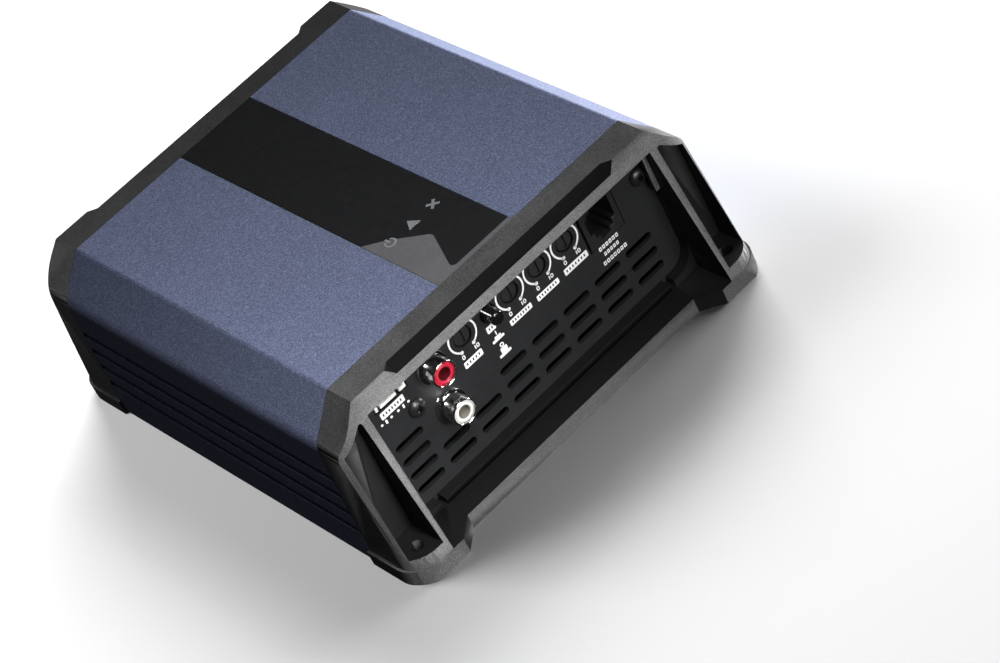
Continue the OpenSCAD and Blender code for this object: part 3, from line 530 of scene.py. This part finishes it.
def label():
    """The label strip, its grey accent and the three symbols, with broken edges."""
    for name, node, width_mm, segments in (("label_strip", "top_label", 0.06, 2),
                                           ("label_accent_patch", "label_accent", 0.05, 1),
                                           ("indicator_symbols", "indicator_windows", 0.05, 2)):
        bevel(publish(name, cad_mesh(node), MAT[SLOT_OF[node]], node), width_mm, segments)


# ------------------------------------------------------------- panel print

PRINT_THICK = 0.05


def put(bm, *loops):
    """Prints an outline with its holes on the front panel."""
    flat(bm, list(loops), 0.0, PRINT_THICK, on_panel)


def ring_arc(x, z, r, width, start, end, n=40):
    """A stroke along an arc, angles in degrees from straight down, anticlockwise seen from the front."""
    inner, outer = [], []
    for i in range(n + 1):
        a = math.radians(start + (end - start) * i / n - 90)
        for out, rad in ((inner, r - width / 2), (outer, r + width / 2)):
            out.append((x + rad * math.cos(a), z + rad * math.sin(a)))
    return outer + inner[::-1]


def digit_zero(x, z, size):
    """The outline and the hole of a 0."""
    w, h, stroke = size * 0.36, size * 0.5, size * 0.2
    return [bar_outline(x - w, x + w, z - h, z + h, w * 0.9),
            bar_outline(x - w + stroke, x + w - stroke, z - h + stroke, z + h - stroke, (w - stroke) * 0.8)]


def dial(bm, x):
    """The arc round a rotor with a dot at each end, and 0 and 10 below them."""
    arc_r, stroke, gap_degrees = 5.15, 0.62, 28
    dot_x, dot_drop = 2.42, 4.55
    put(bm, ring_arc(x, KNOB_Z, arc_r, stroke, gap_degrees, 360 - gap_degrees))
    for side in (-1, 1):
        put(bm, disc_outline(x + side * dot_x, KNOB_Z - dot_drop, stroke))
    digit_z, digit_size = 39.0, 1.5
    put(bm, *digit_zero(x - 2.6, digit_z, digit_size))
    put(bm, bar_outline(x + 2.0, x + 2.35, digit_z - 0.7, digit_z + 0.7, 0.1))
    put(bm, *digit_zero(x + 3.2, digit_z, digit_size))


def plate(x0, x1, z0, z1):
    """A white name plate with a row of small cut-out marks in place of a name."""
    margin, mark_pitch, mark_half = 0.6, 1.35, 0.5
    count = max(2, round((x1 - x0) / mark_pitch))
    pitch = (x1 - x0 - 2 * margin) / count
    middle = (z0 + z1) / 2
    low, high = middle - mark_half, middle + mark_half
    marks = []
    for i in range(count):
        left = x0 + margin + i * pitch
        marks.append(bar_outline(left + 0.2 * pitch, left + 0.62 * pitch, low, high, 0.1))
    return [bar_outline(x0, x1, z0, z1, 0.35)] + marks


def button_marks(bm):
    """Two plungers below the button: one pressed, under a stroke, and one released, under a ring."""
    for base, top in ((34.8, 36.6), (28.9, 31.8)):
        put(bm, bar_outline(-10.5, -5.9, base, base + 0.95, 0.3))
        put(bm, bar_outline(-9.35, -6.8, base + 0.96, top, 0.15))
    put(bm, bar_outline(-8.35, -7.95, 36.9, 38.4, 0.15))
    put(bm, disc_outline(-8.15, 32.75, 0.8), disc_outline(-8.15, 32.75, 0.4))


def input_marks(bm):
    """Four dots and two strokes below the input header."""
    for x in (-52.8, -49.0, -46.3, -42.2):
        put(bm, disc_outline(x, 41.3, 0.45, 16))
    for x in (-51.0, -44.2):
        put(bm, bar_outline(x - 0.35, x + 0.35, 40.5, 41.9, 0.15))


def remote_marks(bm):
    """Three rows of hollow marks below the remote jack."""
    side_gap, end_gap, stroke_x, stroke_z = 0.18, 0.15, 0.34, 0.35
    rows = [(33.4, 41.6, 32.6, 34.3, 6), (34.4, 40.8, 30.1, 31.7, 5), (32.9, 42.9, 27.3, 29.0, 7)]
    for x0, x1, z0, z1, count in rows:
        pitch = (x1 - x0) / count
        low, high = z0 + end_gap, z1 - end_gap
        for i in range(count):
            left, right = x0 + i * pitch + side_gap, x0 + (i + 1) * pitch - side_gap
            put(bm, bar_outline(left, right, low, high, 0.2),
                bar_outline(left + stroke_x, right - stroke_x, low + stroke_z, high - stroke_z, 0.05))


def printed():
    """White print on the front panel: dial arcs, blank name plates and plain marks."""
    bm = bmesh.new()
    for x in KNOBS.values():
        dial(bm, x)
    plates = [(-21.7, -14.5, 35.0, 37.3), (-2.7, 6.1, 35.2, 37.2), (8.5, 17.5, 35.0, 37.0),
              (20.1, 29.8, 35.0, 37.3), (-52.0, -42.8, 42.5, 45.0), (-10.5, -7.2, 39.0, 41.4)]
    for corners in plates:
        put(bm, *plate(*corners))
    button_marks(bm)
    input_marks(bm)
    remote_marks(bm)
    publish("front_print", bm, PRINT)


# ------------------------------------------------------------ signal sockets

SHELL_R, SHELL_WALL = 4.25, 0.6
SHELL_INNER = SHELL_R - SHELL_WALL
SHELL_FRONT = PANEL_Y - 7.2
SOCKET_BACK = -62


def signal_shells():
    """The plated tubes, with a rolled rim and a collar against the panel."""
    r, rim, collar = SHELL_R, SHELL_FRONT, PANEL_Y - 1.5
    profile = [(SHELL_INNER + 0.02, rim + 0.25), (SHELL_INNER + 0.15, rim + 0.06), (r - SHELL_WALL / 2, rim),
               (r - 0.15, rim + 0.06), (r, rim + 0.3), (r, collar - 0.05), (r + 0.1, collar),
               (r + 0.85, collar), (r + 1, collar + 0.2), (r + 1, PANEL_Y), (r, PANEL_Y), (r, SOCKET_BACK),
               (SHELL_INNER, SOCKET_BACK)]
    bm = bmesh.new()
    for z in RCA_Z.values():
        lathe(bm, profile, RCA_X, z, 64)
    publish("signal_shells", bm, MAT["nickel"], "rca_shells", smooth=40)


def signal_insulators():
    """The coloured rings inside the shells, each with its bore darkened as painted shade."""
    r, hole, front = SHELL_INNER - 0.05, 2.05, SHELL_FRONT + 0.3
    profile = [(hole, front + 0.5), (hole + 0.12, front + 0.12), (hole + 0.4, front), (r - 0.7, front),
               (r - 0.5, front + 0.1), (r - 0.45, front + 0.6), (r - 0.25, front + 0.75), (r, front + 0.8),
               (r, SOCKET_BACK), (hole, SOCKET_BACK)]
    for colour, z in RCA_Z.items():
        bm = bmesh.new()
        lathe(bm, profile, RCA_X, z, 56)
        for face in bm.faces:
            middle = face.calc_center_median()
            # Faces in the bore take the darker painted-shade tone.
            face.material_index = int(math.hypot(middle.x - RCA_X, middle.z - z) < hole + 0.1)
        piece = publish("signal_insulator_" + colour, bm, MAT["socket_" + colour], "rca_insulator_" + colour,
                        smooth=35)
        piece.data.materials.append(BORE_SHADE[colour])


def signal_contacts():
    """The gilt sleeves in the insulators' bores."""
    inner, outer, front, back = 1.62, 1.9, -72.2, -58
    profile = [(inner, front + 0.6), (inner + 0.06, front + 0.1), (1.8, front), (outer, front + 0.2),
               (outer, back), (0.2, back), (0.2, back - 2), (inner, back - 2)]
    bm = bmesh.new()
    for z in RCA_Z.values():
        lathe(bm, profile, RCA_X, z, 40)
    publish("signal_contacts", bm, MAT["contact_gold"], "rca_contacts", smooth=35)


# ------------------------------------------------------- knobs and button

def knob(name, x):
    """A rotor whose face has a driver slot and a fine rim step."""
    r, face_r, front, shaft_end = 3.0, 2.75, -69.7, -61
    slot_half, slot_reach, slot_deep, face_back = 0.5, 2.35, 0.75, 0.85

    def place(u, v, w):
        return Vector((u, front + w, v))

    bm = bmesh.new()
    outline = disc_outline(x, KNOB_Z, face_r, 48)
    driver_slot = bar_outline(x - slot_half, x + slot_half, KNOB_Z - slot_reach, KNOB_Z + slot_reach,
                              0.2, n=3)
    flat(bm, [outline, driver_slot], 0, slot_deep, place)
    flat(bm, [outline], slot_deep, face_back, place)
    ring = [(face_r, front + face_back), (face_r, front + 0.25), (r - 0.2, front + 0.15),
            (r - 0.08, front + 0.15), (r, front + 0.25), (r, HEAD_BACK_Y), (SHAFT_R, HEAD_BACK_Y),
            (SHAFT_R, shaft_end - 0.1), (SHAFT_R - 0.1, shaft_end), (0.02, shaft_end),
            (0.02, front + face_back)]
    lathe(bm, ring, x, KNOB_Z)
    piece = publish(name + "_rotor", bm, MAT["knob_black"], name + "_knob", smooth=35)
    bevel(piece, 0.06, segments=1, angle=50)


def button():
    """The push button: a domed head, and a shaft that ends at the switch."""
    r, front, edge_r, crown, shaft_end = 2.35, -75.3, 0.75, 0.12, -57.1
    edge = []
    for degrees in range(0, 91, 15):
        a = math.radians(degrees)
        edge.append((r - edge_r + edge_r * math.sin(a), front + crown + edge_r * (1 - math.cos(a))))
    profile = [(0.01, front), (0.6, front + 0.01), (1.1, front + 0.05)] + edge + [
        (r, HEAD_BACK_Y - 1.2), (r, HEAD_BACK_Y), (SHAFT_R, HEAD_BACK_Y), (SHAFT_R, shaft_end),
        (0.01, shaft_end)]
    bm = bmesh.new()
    lathe(bm, profile, BUTTON_X, KNOB_Z, 56)
    publish("push_button_cap", bm, MAT["button_black"], "power_button", smooth=40)


# ---------------------------------------------------------------- screws

HEAD_R, HEAD_HIGH = 3.1, 1.7
SHANK_R, SHANK_LONG = 1.45, 4


def facing(inward):
    """The rotation that takes the z axis to inward, the way from a screw's head to its tip."""
    return Vector((0, 0, 1)).rotation_difference(Vector(inward)).to_matrix()


def pan_head(bm, seat, inward):
    """A pan-head screw whose head sits on the panel at seat."""
    turn = facing(inward)
    steps, arc = 8, math.radians(78)
    dome = []
    for i in range(steps + 1):
        a = arc * i / steps
        dome.append((HEAD_R * (0.18 + 0.82 * math.sin(a) / math.sin(arc)),
                     -HEAD_HIGH + HEAD_HIGH * 0.72 * (1 - math.cos(a)) / (1 - math.cos(arc))))
    pit = (dome[0][0] * 0.2, -HEAD_HIGH + HEAD_HIGH * 0.55)
    profile = [pit] + dome[1:] + [
        (HEAD_R, -HEAD_HIGH * 0.12), (HEAD_R * 0.97, 0), (SHANK_R, 0), (SHANK_R, SHANK_LONG - 0.4),
        (SHANK_R * 0.7, SHANK_LONG), (0.01, SHANK_LONG)]
    revolve(bm, profile, 40, lambda x, y, z: Vector(seat) + turn @ Vector((x, y, z)), closed=False)


def cross_cut(piece, seats, inward):
    """Cuts the driver recesses into the screws' heads, then drops the cutter."""
    turn = facing(inward)
    long, wide, deep, sunk = HEAD_R * 1.1, HEAD_R * 0.26, HEAD_HIGH * 1.5, HEAD_HIGH * 0.95
    bm = bmesh.new()
    for seat in seats:
        for degrees in (20, 110):
            spin = Matrix.Rotation(math.radians(degrees), 3, "Z")
            for v in bmesh.ops.create_cube(bm, size=1)["verts"]:
                taper = 1 - 0.45 * (v.co.z + 0.5)
                local = Vector((v.co.x * long * taper, v.co.y * wide * taper, v.co.z * deep - sunk))
                v.co = Vector(seat) + turn @ (spin @ local)
    cutter = to_object("cutter", bm)
    mod = piece.modifiers.new("recess", "BOOLEAN")
    mod.object = cutter
    mod.operation = "DIFFERENCE"
    mod.solver = "EXACT"
    mod.use_self = True
    graph = bpy.context.evaluated_depsgraph_get()
    done = bpy.data.meshes.new_from_object(piece.evaluated_get(graph))
    piece.modifiers.remove(mod)
    piece.data = done
    bpy.data.objects.remove(cutter)
    shade_smooth(done, 35)


def screws(name, node, seats, inward):
    """Cross-recess screws at the seats."""
    bm = bmesh.new()
    for seat in seats:
        pan_head(bm, seat, inward)
    cross_cut(publish(name, bm, MAT[SLOT_OF[node]], node, smooth=35), seats, inward)


# ------------------------------------------------------------------ floor, light, camera

def floor():
    """A wide pale slab that shows the shadow but throws nothing back on the object."""
    half = 6000
    bm = bmesh.new()
    block(bm, (-half, half), (-half, half), (-10, 0))
    plane = to_object("floor", bm)
    p = Paint("floor_pale", (0.92, 0.92, 0.92), 0.9, specular=0.1)
    p.tint(p.noise(400, detail=1), (0.90, 0.90, 0.905))
    plane.data.materials.append(p.mat)
    plane.visible_diffuse = False
    plane.visible_glossy = False
    return plane


def lamp_group(name, members):
    """A collection for light linking."""
    group = bpy.data.collections.new(name)
    for piece in members:
        group.objects.link(piece)
    return group


def area_light(name, place, target, size, power, group, spread=180, blockers=None):
    """A soft lamp, in metres and watts, for the pieces of group; only blockers cast its shadow, or all do."""
    light = bpy.data.lights.new(name, "AREA")
    light.spread = math.radians(spread)
    light.shape = "RECTANGLE"
    light.size, light.size_y = size
    light.energy = power
    lamp = bpy.data.objects.new(name, light)
    lamp.location = place
    aim = Vector(target) - Vector(place)
    lamp.rotation_euler = aim.to_track_quat("-Z", "Y").to_euler()
    lamp.visible_camera = False
    lamp.light_linking.receiver_collection = group
    if blockers:
        lamp.light_linking.blocker_collection = blockers
    scene.collection.objects.link(lamp)


def world(ambient, seen):
    """A dim even studio for the object and a pale backdrop for the camera."""
    studio = bpy.data.worlds.new("studio")
    scene.world = studio
    studio.use_nodes = True
    nodes, links = studio.node_tree.nodes, studio.node_tree.links
    back = nodes["Background"]
    back.inputs["Color"].default_value = (1.0, 1.0, 1.0, 1)
    back.inputs["Strength"].default_value = ambient
    shown = nodes.new("ShaderNodeBackground")
    shown.inputs["Color"].default_value = (seen, seen, seen, 1)
    path = nodes.new("ShaderNodeLightPath")
    mix = nodes.new("ShaderNodeMixShader")
    links.new(path.outputs["Is Camera Ray"], mix.inputs["Fac"])
    links.new(back.outputs["Background"], mix.inputs[1])
    links.new(shown.outputs["Background"], mix.inputs[2])
    links.new(mix.outputs["Shader"], nodes["World Output"].inputs["Surface"])


def named(*starts):
    """The scene's objects whose names start in one of these ways."""
    return [o for o in scene.objects if o.name.startswith(starts)]


def lights(plane):
    """The lamps, matched to the photograph's tones; each one lights a group of pieces or the floor."""
    shells = lamp_group("lit_shells", named("signal_shells", "push_button"))
    pieces = lamp_group("lit_pieces", [o for o in scene.objects if o.type == "MESH" and o != plane])
    rear = lamp_group("lit_rear", named("rear_", "power_terminal", "speaker_terminal", "fuse"))
    ground = lamp_group("lit_floor", [plane])
    sockets = (RCA_X * MM, -0.075, 0.03)
    middle = (0, -0.03, 0.04)
    world(0.012, 1.0)
    area_light("shell_streak", (0.29, 0.28, -0.11), sockets, (0.2, 0.2), 1.2, shells, blockers=shells)
    area_light("shell_spots", (-0.27, 0.27, 0.33), sockets, (0.06, 0.06), 1.5, shells, blockers=shells)
    area_light("key_left", (-0.03, -0.5, 0.25), (-0.13, -0.08, 0.05), (0.12, 0.12), 0.235, pieces, 50)
    area_light("key_over", (-0.03, -0.4, 0.6), (-0.12, -0.12, 0.06), (0.12, 0.12), 0.22, pieces, 50)
    area_light("front_low", (0.15, -1.0, 0.15), middle, (0.4, 0.2), 4.2, pieces)
    area_light("right_low", (1.0, 0.0, 0.15), middle, (0.8, 0.2), 30, pieces)
    area_light("left_side", (-1.0, 0.0, 0.3), middle, (0.5, 0.3), 0.18, pieces)
    area_light("back_low", (-0.1, 1.1, 0.12), (0, 0.03, 0.04), (0.5, 0.2), 9, rear)
    area_light("floor_back_right", (0.8, 0.9, 1.0), (0, 0, 0), (0.8, 0.8), 24.5, ground)
    area_light("floor_back_left", (-0.8, 0.9, 1.0), (0, 0, 0), (0.8, 0.8), 18.5, ground)
    area_light("floor_right", (1.1, 0.0, 0.9), (0.1, -0.1, 0), (0.8, 0.8), 7, ground)


def camera():
    """The camera fitted to the casing's edges in the photograph; place in metres, angles in degrees."""
    place = Vector((-0.3227, -0.7556, 0.6438))
    yaw, tilt, roll = (math.radians(a) for a in (24.74, 38.8, 27.01))
    ahead = Vector((math.sin(yaw) * math.cos(tilt), math.cos(yaw) * math.cos(tilt), -math.sin(tilt)))
    level = ahead.cross(Vector((0, 0, 1))).normalized()
    below = ahead.cross(level)
    right = math.cos(roll) * level + math.sin(roll) * below
    up = math.sin(roll) * level - math.cos(roll) * below
    data = bpy.data.cameras.new("camera")
    data.sensor_width = 36
    data.lens = 120.97
    data.clip_start, data.clip_end = 0.01, 20
    cam = bpy.data.objects.new("camera", data)
    scene.collection.objects.link(cam)
    turn = Matrix((right, up, -ahead)).transposed().to_4x4()
    cam.matrix_world = Matrix.Translation(place) @ turn
    scene.camera = cam


# ------------------------------------------------------------------ build

camera()
ground = floor()
scene.view_settings.view_transform = "Standard"

for node, obj in NODES.items():
    obj.data.materials.clear()
    obj.data.materials.append(MAT[SLOT_OF[node]])

heat_sink()
cap("front_cap", MAT["cap_plastic"], 1)
cap("rear_cap", REAR_CAP_SHADED, -1)
for panel in ("front_panel", "rear_panel"):
    soften(panel, 0.14)
label()
printed()
signal_shells()
signal_insulators()
signal_contacts()
for name, x in KNOBS.items():
    knob(name, x)
button()
soften("remote_jack", 0.12)
soften("input_header", 0.15)
for part in ("power_terminal_block", "speaker_terminal_block", "fuse_holder", "fuse_left", "fuse_right"):
    soften(part, 0.25)
for part in ("power_terminal_screws", "speaker_terminal_screws", "cover_screws", "rca_block", "bottom_cover"):
    soften(part, 0.12)
screws("front_screws", "front_panel_screws", [(-40.9, PANEL_Y, 37.4), (55.2, PANEL_Y, 44.6)], (0, 1, 0))
screws("rear_screws", "rear_panel_screws", [(55.2, -PANEL_Y, 31), (-55.2, -PANEL_Y, 31)], (0, -1, 0))

lights(ground)
